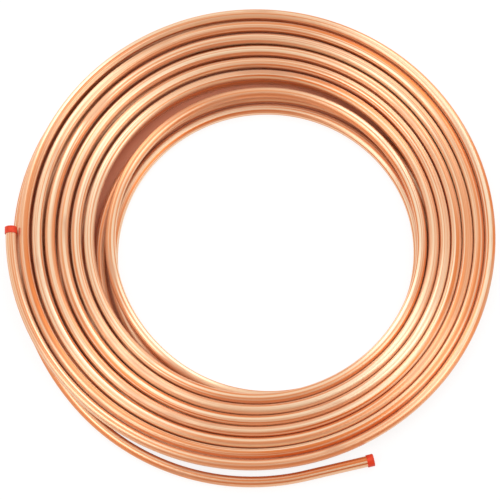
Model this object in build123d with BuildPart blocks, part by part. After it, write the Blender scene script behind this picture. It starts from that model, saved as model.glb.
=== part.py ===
# Coil of soft copper tube with a push-on cap on each end, lying flat on a level floor.
# Millimetres, +Z up. The origin is on the floor, at the middle of the coil.
#
# The tube is wound from one length. Seen from above it runs anticlockwise: from the upper
# end at the left it winds inward through the upper layer, dives to the floor at the bore
# and winds outward again through the lower layer, to a tail that springs free at the front.

from build123d import *
from math import asin, atan, cos, degrees, radians, sin, tan
import os

os.makedirs("parts", exist_ok=True)

# Tube stock
TUBE_OD = 9.525
TUBE_WALL = 0.81

# Upper layer. Its turns are quarter arcs that meet on the diagonals. From turn to turn they
# close in by the tube and a gap, and drift towards the front right, where they lie side by
# side. The last turn is drawn in further at the right, and the quarter that leads into the
# dive opens out again.
COIL_MIDDLE_X = -0.6
COIL_MIDDLE_Y = 1.8
FIRST_RADIUS = 214.9
UPPER_GAP = 1.225
UPPER_DRIFT = 1.1
UPPER_TURNS = 7
DRAW_IN = 2.5
LAYER_GAP = 0.2

# Dive to the floor, down two arcs that lean opposite ways. It is wider than the last upper
# quarter, and the innermost turn after it is tighter.
CROSSING_EASE = 2.2
DIVE_LEAD = 65.9
DIVE_ANGLE = 31.4
INNERMOST_DRAW = 3.9

# Lower layer, wound back outward. Its first turn keeps close and opens out a little more at
# the back left, to clear the dive. The later turns have wider gaps and drift back.
LOWER_FIRST_GAP = 0.6
CLEARING_STEP = 1.8
LOWER_GAP = 5.05
LOWER_DRIFT = 4.9
LOWER_QUARTERS = 22

# Free ends. The upper one is the first half turn and a straight stub in its cap. The lower
# one opens out of the coil in two arcs before its straight tail.
UPPER_END_ANGLE = 44.2
OPENING_EASE = 22.2
OPENING_ANGLE = 40.5
TAIL_EASE = 7.9
TAIL_ANGLE = 63.0
TAIL_STRAIGHT = 60.5

# Caps
CAP_LENGTH = 6.2
CAP_WALL = 0.7
CAP_END_WALL = 0.9
CAP_CLEARANCE = 0.05
CAP_EDGE_FILLET = 0.5
CAP_FLOOR_GAP = 0.1

TUBE_RADIUS = TUBE_OD / 2
CAP_RADIUS = TUBE_RADIUS + CAP_CLEARANCE + CAP_WALL
CAP_SEAT = CAP_LENGTH - CAP_END_WALL
UPPER_STUB = CAP_SEAT + 0.1
BORE_DEPTH = CAP_SEAT + 2.7
LOWER_LEVEL = TUBE_RADIUS
UPPER_LEVEL = TUBE_OD + LAYER_GAP + TUBE_RADIUS

# Both free ends spring up until their caps clear what the tube lies on
end_rise = CAP_RADIUS - TUBE_RADIUS + CAP_FLOOR_GAP

# Radii of the quarters of the upper layer. They meet at the front left, front right, back
# right and back left in turn, and the drift is what they lose more at the front right.
upper_step = (TUBE_OD + UPPER_GAP) / 4
upper_steps = (
    upper_step,
    upper_step + UPPER_DRIFT / 2,
    upper_step,
    upper_step - UPPER_DRIFT / 2,
)
upper_radii = [FIRST_RADIUS]
for quarter in range(4 * UPPER_TURNS - 1):
    drawn = DRAW_IN if quarter > 4 * UPPER_TURNS - 4 else 0
    upper_radii.append(upper_radii[-1] - upper_steps[quarter % 4] - drawn)

crossing_radius = upper_radii[-1] + CROSSING_EASE
innermost_radius = upper_radii[-1] - INNERMOST_DRAW

# Radii of the quarters of the lower layer, which meet at the back right, back left, front
# left and front right in turn
lower_step = (TUBE_OD + LOWER_GAP) / 4
lower_steps = (
    lower_step,
    lower_step - LOWER_DRIFT / 2,
    lower_step,
    lower_step + LOWER_DRIFT / 2,
)
lower_radii = [innermost_radius]
for quarter in range(LOWER_QUARTERS):
    growth = lower_steps[quarter % 4] if quarter > 3 else (TUBE_OD + LOWER_FIRST_GAP) / 4
    growth += CLEARING_STEP if quarter == 1 else 0
    lower_radii.append(lower_radii[-1] + growth)


def run(start, heading, normal, bends, straight=0):
    """A length of tube from a point and a heading. It bends to the left, seen against the
    normal, through arcs of given radius and angle, and ends straight. Returns its end,
    facing on along the tube."""
    with BuildLine(Plane(origin=start, x_dir=heading, z_dir=normal)) as route:
        place, direction = (0, 0), (1, 0)
        for radius, angle in bends:
            arc = JernArc(place, direction, radius, angle)
            place, direction = arc @ 1, arc % 1
        if straight:
            Line(place, place + straight * direction)
    wire = route.wire()
    with BuildSketch(Plane(origin=wire @ 0, z_dir=wire % 0)) as section:
        Circle(TUBE_RADIUS)
    sweep(section.sketch, path=wire)
    return Plane(origin=wire @ 1, z_dir=wire % 1)


def free_end(start, side, bends, straight):
    """The tube from a point of the coil, heading towards the front, to one of its ends.
    It bends towards one side, right (1) or left (-1) in the top view, in a plane that
    rises that way."""
    turned, reach = 0, 0
    for radius, angle in bends:
        reach += radius * (cos(radians(turned)) - cos(radians(turned + angle)))
        turned += angle
    reach += straight * sin(radians(turned))
    tilt = asin(end_rise / reach)
    return run(start, (0, -1, 0), (-sin(tilt), 0, side * cos(tilt)), bends, straight)


with BuildPart() as copper_tube:
    # First half turn, from the right of the coil back to the upper end at the left
    upper_start = (COIL_MIDDLE_X + upper_radii[2], COIL_MIDDLE_Y, UPPER_LEVEL)
    first_half = [(upper_radii[2], 45), (upper_radii[1], 90), (upper_radii[0], UPPER_END_ANGLE)]
    upper_seat = free_end(upper_start, -1, first_half, UPPER_STUB)

    # Upper layer, from the right of the coil to where the dive begins
    upper_bends = [(upper_radii[2], 45)] + [(radius, 90) for radius in upper_radii[3:]]
    upper_bends += [(crossing_radius, DIVE_LEAD)]
    brink = run(upper_start, (0, 1, 0), (0, 0, 1), upper_bends)

    # Dive: its first arc leans inward and downward, and the second lays the tube level
    drop = UPPER_LEVEL - LOWER_LEVEL
    lean = degrees(asin(drop / (2 * crossing_radius * (1 - cos(radians(DIVE_ANGLE))))))
    dive_turn = 2 * degrees(atan(tan(radians(DIVE_ANGLE)) * cos(radians(lean))))
    first_heading = brink.z_dir
    last_heading = first_heading.rotate(Axis.Z, dive_turn)
    first_normal = Vector(0, 0, 1).rotate(Axis((0, 0, 0), first_heading), -lean)
    halfway = run(brink.origin, first_heading, first_normal, [(crossing_radius, DIVE_ANGLE)])
    last_normal = halfway.z_dir.cross(last_heading)
    landing = run(halfway.origin, halfway.z_dir, last_normal, [(crossing_radius, DIVE_ANGLE)])

    # Lower layer, from the dive to the left of the coil
    lower_bends = [(lower_radii[0], 270 - DIVE_LEAD - dive_turn)]
    lower_bends += [(radius, 90) for radius in lower_radii[1:-1]] + [(lower_radii[-1], 45)]
    coil_end = run(landing.origin, landing.z_dir, (0, 0, 1), lower_bends)

    # Tail of the lower end
    tail = [
        (lower_radii[-1] + OPENING_EASE, OPENING_ANGLE),
        (lower_radii[-1] - TAIL_EASE, TAIL_ANGLE),
    ]
    lower_seat = free_end(coil_end.origin, 1, tail, TAIL_STRAIGHT)

    # The tube's own bore, as far as it is open at each end
    with BuildSketch(upper_seat, lower_seat):
        Circle(TUBE_RADIUS - TUBE_WALL)
    extrude(amount=-BORE_DEPTH, mode=Mode.SUBTRACT)

copper_tube.part.label = "copper_tube"
export_step(copper_tube.part, "parts/copper_tube.step")

for name, seat in {"upper_end_cap": upper_seat, "lower_end_cap": lower_seat}.items():
    with BuildPart() as end_cap:
        with BuildSketch(seat.offset(CAP_END_WALL)):
            Circle(CAP_RADIUS)
        extrude(amount=-CAP_LENGTH)
        fillet(end_cap.edges().sort_by(Axis(seat.origin, seat.z_dir))[-1], CAP_EDGE_FILLET)
        with BuildSketch(seat):
            Circle(TUBE_RADIUS + CAP_CLEARANCE)
        extrude(amount=CAP_END_WALL - CAP_LENGTH, mode=Mode.SUBTRACT)
    end_cap.part.label = name
    export_step(end_cap.part, f"parts/{name}.step")
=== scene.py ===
# Coil of soft copper tube with a red cap on each end, lying on a pale studio floor.
# Metres, +Z up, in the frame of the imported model: the origin is on the floor, mid coil.
from math import asin, atan, cos, pi, radians, sin, tan, tau

import bpy
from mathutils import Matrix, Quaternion, Vector


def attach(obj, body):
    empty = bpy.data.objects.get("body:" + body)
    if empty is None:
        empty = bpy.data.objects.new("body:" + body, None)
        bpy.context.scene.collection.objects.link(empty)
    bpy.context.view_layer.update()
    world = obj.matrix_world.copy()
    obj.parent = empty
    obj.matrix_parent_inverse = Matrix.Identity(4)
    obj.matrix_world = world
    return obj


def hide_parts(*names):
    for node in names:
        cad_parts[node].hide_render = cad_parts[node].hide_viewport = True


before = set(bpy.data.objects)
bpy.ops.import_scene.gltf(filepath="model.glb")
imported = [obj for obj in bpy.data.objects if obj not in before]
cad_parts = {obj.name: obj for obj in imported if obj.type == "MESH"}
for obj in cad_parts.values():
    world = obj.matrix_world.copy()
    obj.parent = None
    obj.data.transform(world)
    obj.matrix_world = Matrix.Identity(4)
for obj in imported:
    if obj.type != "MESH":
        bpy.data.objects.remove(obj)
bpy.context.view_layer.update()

scene = bpy.context.scene
scene.view_settings.view_transform = "Standard"


# The camera looks down on the coil from the front, 17 degrees off the vertical, with a
# long lens. The coil nearly fills the square picture.
CAMERA_ELEVATION = radians(72.7)
CAMERA_DISTANCE = 4.0
CAMERA_TARGET = Vector((-0.0042, -0.0116, 0.014))
LENS = 325.6
SENSOR_WIDTH = 36.0

camera_data = bpy.data.cameras.new("camera")
camera_data.lens = LENS
camera_data.sensor_width = SENSOR_WIDTH
camera = bpy.data.objects.new("camera", camera_data)
scene.collection.objects.link(camera)
camera_offset = Vector((0, -cos(CAMERA_ELEVATION), sin(CAMERA_ELEVATION))) * CAMERA_DISTANCE
camera.location = CAMERA_TARGET + camera_offset
camera.rotation_euler = (pi / 2 - CAMERA_ELEVATION, 0, 0)
scene.camera = camera


# The tube is one length of drawn soft copper, wound flat in two layers from its upper end:
# inward, down to the floor at the opening, and outward again beneath. Its line is a chain
# of tangent arcs, mostly quarter turns, that run anticlockwise when seen from above.
TUBE_RADIUS = 0.009525 / 2
TUBE_WALL = 0.00081
BORE_DEPTH = 0.008
BORE_BOTTOM = 0.0001
LAYER_GAP = 0.0002
UPPER_LEVEL = 3 * TUBE_RADIUS + LAYER_GAP

UPPER_START = Vector((0.2084, 0.0018, UPPER_LEVEL))
FIRST_RADIUS = 0.2149
UPPER_PITCH = 0.01075
UPPER_DRIFT = 0.0011
UPPER_QUARTERS = 27
DRAW_IN = 0.0025
CROSSING_RADIUS = 0.1390
DIVE_LEAD = radians(65.9)
DIVE_ANGLE = radians(31.4)

INNERMOST_RADIUS = 0.1329
FIRST_LOWER_PITCH = 0.010125
CLEARING_STEP = 0.0018
LOWER_PITCH = 0.014575
LOWER_DRIFT = 0.0049
LOWER_QUARTERS = 22

END_RISE = 0.00085
TAIL_REACH = 0.3128
TAIL_OPENING = 0.0222, radians(40.5)
TAIL_CLOSING = -0.0079, radians(63.0)
TAIL_STRAIGHT = 0.0605
TAIL_STEPS = 12
HALF_TURN_REACH = 0.4244
UPPER_END_ANGLE = radians(44.2)
UPPER_STUB = 0.0054

SIDES = 20
STEP = radians(2)
SHARP = radians(50)

quarter = pi / 2
eighth = pi / 4
up = Vector((0, 0, 1))


def bend(line, heading, normal, radius, angle):
    """Carries a line on through one arc, which bends to the left when seen against the
    normal. Returns the heading at its end."""
    start = line[-1]
    middle = start + normal.cross(heading) * radius
    steps = max(round(angle / STEP), 1)
    for step in range(1, steps + 1):
        turned = Quaternion(normal, angle * step / steps)
        line.append(middle + turned @ (start - middle))
    return Quaternion(normal, angle) @ heading


# The upper turns close in and drift towards the front right, where they lie side by side.
# The last one is drawn in further.
upper_radii = [FIRST_RADIUS]
for number in range(UPPER_QUARTERS):
    step = UPPER_PITCH / 4 + UPPER_DRIFT / 2 * (0, 1, 0, -1)[number % 4]
    drawn = DRAW_IN if number >= UPPER_QUARTERS - 2 else 0
    upper_radii.append(upper_radii[-1] - step - drawn)
tube_line = [UPPER_START]
heading = bend(tube_line, Vector((0, 1, 0)), up, upper_radii[2], eighth)
for radius in upper_radii[3:]:
    heading = bend(tube_line, heading, up, radius, quarter)
heading = bend(tube_line, heading, up, CROSSING_RADIUS, DIVE_LEAD)

# The dive goes down an arc that leans inward, and a second one lays the tube level.
drop = UPPER_LEVEL - TUBE_RADIUS
lean = asin(drop / (2 * CROSSING_RADIUS * (1 - cos(DIVE_ANGLE))))
dive_turn = 2 * atan(tan(DIVE_ANGLE) * cos(lean))
landing_heading = Quaternion(up, dive_turn) @ heading
leaning = Quaternion(heading, -lean) @ up
heading = bend(tube_line, heading, leaning, CROSSING_RADIUS, DIVE_ANGLE)
levelling = heading.cross(landing_heading).normalized()
bend(tube_line, heading, levelling, CROSSING_RADIUS, DIVE_ANGLE)

# The lower turns keep close at first, and then lie wider apart and drift towards the back.
lower_radii = [INNERMOST_RADIUS]
for number in range(LOWER_QUARTERS):
    step = LOWER_PITCH / 4 - LOWER_DRIFT / 2 * (0, 1, 0, -1)[number % 4]
    if number < 4:
        step = FIRST_LOWER_PITCH / 4 + (CLEARING_STEP if number == 1 else 0)
    lower_radii.append(lower_radii[-1] + step)
rest_of_turn = 3 * quarter - DIVE_LEAD - dive_turn
heading = bend(tube_line, landing_heading, up, lower_radii[0], rest_of_turn)
for radius in lower_radii[1:-1]:
    heading = bend(tube_line, heading, up, radius, quarter)
heading = bend(tube_line, heading, up, lower_radii[-1], eighth)

# The tail opens out of the coil in a plane that rises to its cap, and ends straight.
tail_normal = Quaternion((0, 1, 0), -END_RISE / TAIL_REACH) @ up
for ease, angle in (TAIL_OPENING, TAIL_CLOSING):
    heading = bend(tube_line, heading, tail_normal, lower_radii[-1] + ease, angle)
corner = tube_line[-1]
for step in range(1, TAIL_STEPS + 1):
    tube_line.append(corner + heading * TAIL_STRAIGHT * step / TAIL_STEPS)

# The first half turn is laid the other way, from the right of the coil to the upper end,
# and rises to its cap too.
first_half = [UPPER_START]
half_normal = Quaternion((0, 1, 0), END_RISE / HALF_TURN_REACH) @ -up
heading = bend(first_half, Vector((0, -1, 0)), half_normal, upper_radii[2], eighth)
heading = bend(first_half, heading, half_normal, upper_radii[1], quarter)
heading = bend(first_half, heading, half_normal, upper_radii[0], UPPER_END_ANGLE)
first_half.append(first_half[-1] + heading * UPPER_STUB)
tube_line = first_half[:0:-1] + tube_line


def tube_mesh(name, line):
    """The tube along its line, with its bore open as deep as the caps hide it. Attributes
    keep each point's place on the straight stock and the direction round the tube."""
    rings = []
    travelled = 0.0
    for index, point in enumerate(line):
        before = line[max(index - 1, 0)]
        after = line[min(index + 1, len(line) - 1)]
        if index:
            travelled += (point - before).length
        rings.append((point, (after - before).normalized(), TUBE_RADIUS, travelled))

    bore = TUBE_RADIUS - TUBE_WALL
    first, first_along = rings[0][:2]
    last, last_along = rings[-1][:2]
    first_bottom = first + first_along * BORE_DEPTH
    last_bottom = last - last_along * BORE_DEPTH
    rings = [
        (first_bottom, first_along, BORE_BOTTOM, 0.0),
        (first_bottom, first_along, bore, 0.0),
        (first, first_along, bore, 0.0),
        *rings,
        (last, last_along, bore, travelled),
        (last_bottom, last_along, bore, travelled),
        (last_bottom, last_along, BORE_BOTTOM, travelled),
    ]

    vertices, faces, stock_places, ways_round = [], [], [], []
    for index, (point, along, radius, travelled) in enumerate(rings):
        across = along.cross(up).normalized()
        upright = across.cross(along)
        for side in range(SIDES):
            angle = tau * side / SIDES
            vertices.append(point + (across * cos(angle) + upright * sin(angle)) * radius)
            stock_places.append((cos(angle) * TUBE_RADIUS, sin(angle) * TUBE_RADIUS, travelled))
            ways_round.append(upright * cos(angle) - across * sin(angle))
            if index:
                behind = (index - 1) * SIDES
                here = index * SIDES
                beside = (side + 1) % SIDES
                faces.append((behind + side, behind + beside, here + beside, here + side))
    mesh = bpy.data.meshes.new(name)
    mesh.from_pydata(vertices, [], faces)
    for attribute, values in (("stock", stock_places), ("around", ways_round)):
        data = mesh.attributes.new(attribute, "FLOAT_VECTOR", "POINT").data
        for item, value in zip(data, values):
            item.vector = value
    mesh.polygons.foreach_set("use_smooth", [True] * len(mesh.polygons))
    mesh.set_sharp_from_angle(angle=SHARP)
    return mesh


def new_finish(name):
    """A material, with its node tree and its shader."""
    material = bpy.data.materials.new(name)
    material.use_nodes = True
    tree = material.node_tree
    return material, tree, tree.nodes["Principled BSDF"]


def noise(place, waves, detail):
    """Noise over a place, with so many waves to the metre along each of its axes."""
    tree = place.id_data
    scaled = tree.nodes.new("ShaderNodeVectorMath")
    scaled.operation = "MULTIPLY"
    scaled.inputs[1].default_value = waves
    tree.links.new(place, scaled.inputs[0])
    texture = tree.nodes.new("ShaderNodeTexNoise")
    texture.inputs["Scale"].default_value = 1.0
    texture.inputs["Detail"].default_value = detail
    tree.links.new(scaled.outputs["Vector"], texture.inputs["Vector"])
    return texture.outputs["Fac"]


def grade(value, start, end, low=0.0, high=1.0):
    """Runs evenly from low to high while a value goes from start to end."""
    tree = value.id_data
    node = tree.nodes.new("ShaderNodeMapRange")
    for name, number in zip(("From Min", "From Max", "To Min", "To Max"), (start, end, low, high)):
        node.inputs[name].default_value = number
    tree.links.new(value, node.inputs["Value"])
    return node.outputs["Result"]


def mixed(amount, first, second):
    """A colour between two, which are numbers or come out of other nodes."""
    tree = amount.id_data
    node = tree.nodes.new("ShaderNodeMix")
    node.data_type = "RGBA"
    tree.links.new(amount, node.inputs["Factor"])
    for name, colour in (("A", first), ("B", second)):
        if isinstance(colour, tuple):
            node.inputs[name].default_value = (*colour, 1)
        else:
            tree.links.new(colour, node.inputs[name])
    return node.outputs["Result"]


def emboss(shader, height, strength, depth):
    """Gives a shader the relief of a height, so many metres deep."""
    tree = height.id_data
    relief = tree.nodes.new("ShaderNodeBump")
    relief.inputs["Strength"].default_value = strength
    relief.inputs["Distance"].default_value = depth
    tree.links.new(height, relief.inputs["Height"])
    tree.links.new(relief.outputs["Normal"], shader.inputs["Normal"])


tube = bpy.data.objects.new("wound_tube", tube_mesh("wound_tube", tube_line))
scene.collection.objects.link(tube)

# Drawing through the die brushes the copper lengthwise, which spreads its shine round the
# tube, and leaves fine lines, plainer in some stretches than in others. The light and dark
# streaks of these lines are in part real die lines and in part painted reflections of the
# neighbouring turns. Handling leaves a few dull tan marks.
# The two line colours are a painted shade and a painted gleam.
DIE_LINE_PAINTED_SHADE = (0.78, 0.22, 0.06)
DIE_LINE_PAINTED_GLEAM = (0.97, 0.73, 0.50)
BRIGHT_COPPER = (0.92, 0.51, 0.28)
TAN_MARK = (0.74, 0.38, 0.22)
DIE_LINE_AND_REFLECTION_WAVES = (500, 500, 2.5)
DIE_LINE_DEPTH = 0.00012
STRETCH_WAVES = (60, 60, 5.0)
MARK_WAVES = (110, 110, 14.0)
BRIGHT_ROUGHNESS = 0.32
MARK_ROUGHNESS = 0.42

soft_copper, tree, shader = new_finish("soft_copper")
shader.inputs["Metallic"].default_value = 0.8
shader.inputs["Anisotropic"].default_value = 0.9
way_round = tree.nodes.new("ShaderNodeAttribute")
way_round.attribute_name = "around"
tree.links.new(way_round.outputs["Vector"], shader.inputs["Tangent"])
on_stock = tree.nodes.new("ShaderNodeAttribute")
on_stock.attribute_name = "stock"
stock_place = on_stock.outputs["Vector"]

die_lines_and_painted_reflections = noise(stock_place, DIE_LINE_AND_REFLECTION_WAVES, 3.0)
plainness = grade(noise(stock_place, STRETCH_WAVES, 1.0), 0.42, 0.60, 0.65, 1.0)
marks = grade(noise(stock_place, MARK_WAVES, 2.0), 0.60, 0.74)
# Light and dark streaks along the tube: in part die lines, in part painted reflections of the
# neighbouring turns.
lined_with_painted_reflections = mixed(grade(die_lines_and_painted_reflections, 0.42, 0.58), DIE_LINE_PAINTED_SHADE, DIE_LINE_PAINTED_GLEAM)
clean = mixed(plainness, BRIGHT_COPPER, lined_with_painted_reflections)
tree.links.new(mixed(marks, clean, TAN_MARK), shader.inputs["Base Color"])
dullness = grade(marks, 0.0, 1.0, BRIGHT_ROUGHNESS, MARK_ROUGHNESS)
tree.links.new(dullness, shader.inputs["Roughness"])
emboss(shader, die_lines_and_painted_reflections, 0.35, DIE_LINE_DEPTH)
tube.data.materials.append(soft_copper)
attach(tube, "root")
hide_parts("copper_tube")


# A moulded cap of soft red plastic is pushed over each end of the tube. The plastic is
# faintly mottled, and has a fine matt grain.
DEEP_RED = (0.60, 0.034, 0.008)
BRIGHT_RED = (0.78, 0.056, 0.013)
DEEP_ROUGHNESS = 0.52
BRIGHT_RED_ROUGHNESS = 0.40
MOTTLE_WAVES = (260, 260, 260)
GRAIN_WAVES = (2400, 2400, 2400)
GRAIN_DEPTH = 0.00005

cap_plastic, tree, shader = new_finish("cap_plastic")
shader.inputs["Specular IOR Level"].default_value = 0.3
cap_place = tree.nodes.new("ShaderNodeTexCoord").outputs["Object"]
mottle = noise(cap_place, MOTTLE_WAVES, 2.0)
red = mixed(grade(mottle, 0.35, 0.65), DEEP_RED, BRIGHT_RED)
dullness = grade(mottle, 0.3, 0.7, DEEP_ROUGHNESS, BRIGHT_RED_ROUGHNESS)
tree.links.new(red, shader.inputs["Base Color"])
tree.links.new(dullness, shader.inputs["Roughness"])
emboss(shader, noise(cap_place, GRAIN_WAVES, 1.0), 0.25, GRAIN_DEPTH)
for name in ("upper_end_cap", "lower_end_cap"):
    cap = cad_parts[name]
    cap.data.materials.clear()
    cap.data.materials.append(cap_plastic)


# The floor is white paper that glows towards the camera and keeps a faint shadow. Beneath
# the coil it is painted in the copper's colour, a painted reflection of the tubes, and has
# only the light that falls between the turns. That shaded ring lies between two circles,
# with edges that the turns hide.
PAPER_SIZE = 12.0
PAPER_WHITE = (0.9, 0.9, 0.9)
PAPER_PAINTED_COPPER_REFLECTION = (0.72, 0.30, 0.18)
GLOW = 1.05
GLOW_SHARE = 0.8
RING_MIDDLES = (0.0097, -0.0078, 0), (-0.0006, 0.0018, 0)
RING_EDGES = (0.1365, 0.1325), (0.208, 0.209)

paper_mesh = bpy.data.meshes.new("paper_floor")
corners = [(x * PAPER_SIZE, y * PAPER_SIZE, 0) for x, y in ((-1, -1), (1, -1), (1, 1), (-1, 1))]
paper_mesh.from_pydata(corners, [], [(0, 1, 2, 3)])
paper_floor = bpy.data.objects.new("paper_floor", paper_mesh)
scene.collection.objects.link(paper_floor)
white_paper, tree, shader = new_finish("white_paper")
shader.inputs["Roughness"].default_value = 0.9


def combined(operation, first, second):
    """One number made from two, the second of which may be a plain one."""
    tree = first.id_data
    node = tree.nodes.new("ShaderNodeMath")
    node.operation = operation
    tree.links.new(first, node.inputs[0])
    if isinstance(second, float):
        node.inputs[1].default_value = second
    else:
        tree.links.new(second, node.inputs[1])
    return node.outputs["Value"]


floor_place = tree.nodes.new("ShaderNodeNewGeometry").outputs["Position"]
clear_sides = []
for middle, (shaded, clear) in zip(RING_MIDDLES, RING_EDGES):
    distance = tree.nodes.new("ShaderNodeVectorMath")
    distance.operation = "DISTANCE"
    distance.inputs[1].default_value = middle
    tree.links.new(floor_place, distance.inputs[0])
    clear_sides.append(grade(distance.outputs["Value"], shaded, clear))
clear_of_coil = combined("MAXIMUM", *clear_sides)
# Beneath the coil the paper's colour is a painted reflection of the copper.
tree.links.new(mixed(clear_of_coil, PAPER_PAINTED_COPPER_REFLECTION, PAPER_WHITE), shader.inputs["Base Color"])
rays = tree.nodes.new("ShaderNodeLightPath").outputs
seen = combined("MAXIMUM", rays["Is Camera Ray"], rays["Is Glossy Ray"])
seen = combined("MAXIMUM", seen, rays["Is Transmission Ray"])
glowing = combined("MULTIPLY", combined("MULTIPLY", seen, clear_of_coil), GLOW_SHARE)
glow = tree.nodes.new("ShaderNodeEmission")
glow.inputs["Strength"].default_value = GLOW
blend = tree.nodes.new("ShaderNodeMixShader")
tree.links.new(glowing, blend.inputs["Fac"])
tree.links.new(shader.outputs["BSDF"], blend.inputs[1])
tree.links.new(glow.outputs["Emission"], blend.inputs[2])
tree.links.new(blend.outputs["Shader"], tree.nodes["Material Output"].inputs["Surface"])
paper_mesh.materials.append(white_paper)


# The coil is lit as in a tent of four soft boxes. They stand round the line that mirrors the
# camera's own in the floor, so that each lights one quarter of every turn, and the room
# between them is dimmer, most of all behind the camera.
MIRROR_LEAN = Quaternion((1, 0, 0), CAMERA_ELEVATION - pi / 2)
BEHIND_CAMERA = 0.15, (0.56, 0.35, 0.25)
ROUND_COIL = 0.5, (0.93, 0.96, 0.99)
BACK_WALL = 1.0, (0.90, 0.87, 0.84)
BOX_DISTANCE = 3.0
BOX_COLOUR = (0.80, 0.95, 1.0)

world = bpy.data.worlds.new("studio")
world.use_nodes = True
tree = world.node_tree
direction = tree.nodes.new("ShaderNodeTexCoord")
depth = tree.nodes.new("ShaderNodeVectorMath")
depth.operation = "DOT_PRODUCT"
depth.inputs[1].default_value = MIRROR_LEAN @ Vector((0, 1, 0))
tree.links.new(direction.outputs["Generated"], depth.inputs[0])
room = tree.nodes.new("ShaderNodeValToRGB")
room.color_ramp.interpolation = "EASE"
walls = room.color_ramp.elements
walls.new(0.5)
for wall, (position, colour) in zip(walls, (BEHIND_CAMERA, ROUND_COIL, BACK_WALL)):
    wall.position = position
    wall.color = (*colour, 1)
tree.links.new(grade(depth.outputs["Value"], -1.0, 1.0), room.inputs["Fac"])
tree.links.new(room.outputs["Color"], tree.nodes["Background"].inputs["Color"])
scene.world = world


def soft_box(name, bearing, elevation, width, height, radiance):
    """A soft box that faces the coil, where its bearing runs anticlockwise from the right."""
    data = bpy.data.lights.new(name, "AREA")
    data.shape = "RECTANGLE"
    data.size = width
    data.size_y = height
    data.energy = radiance * pi * width * height
    data.color = BOX_COLOUR
    lamp = bpy.data.objects.new(name, data)
    scene.collection.objects.link(lamp)
    level = Vector((cos(bearing), sin(bearing), 0)) * cos(elevation)
    lamp.location = MIRROR_LEAN @ (level + up * sin(elevation)) * BOX_DISTANCE
    lamp.rotation_mode = "QUATERNION"
    lamp.rotation_quaternion = lamp.location.to_track_quat("Z", "Y")


soft_box("back_right_box", radians(50), radians(42), 1.4, 2.6, 1.8)
soft_box("back_left_box", radians(138), radians(42), 1.1, 2.8, 2.1)
soft_box("front_left_box", radians(226), radians(45), 1.3, 2.4, 2.2)
soft_box("front_right_box", radians(324), radians(42), 1.2, 2.8, 2.0)
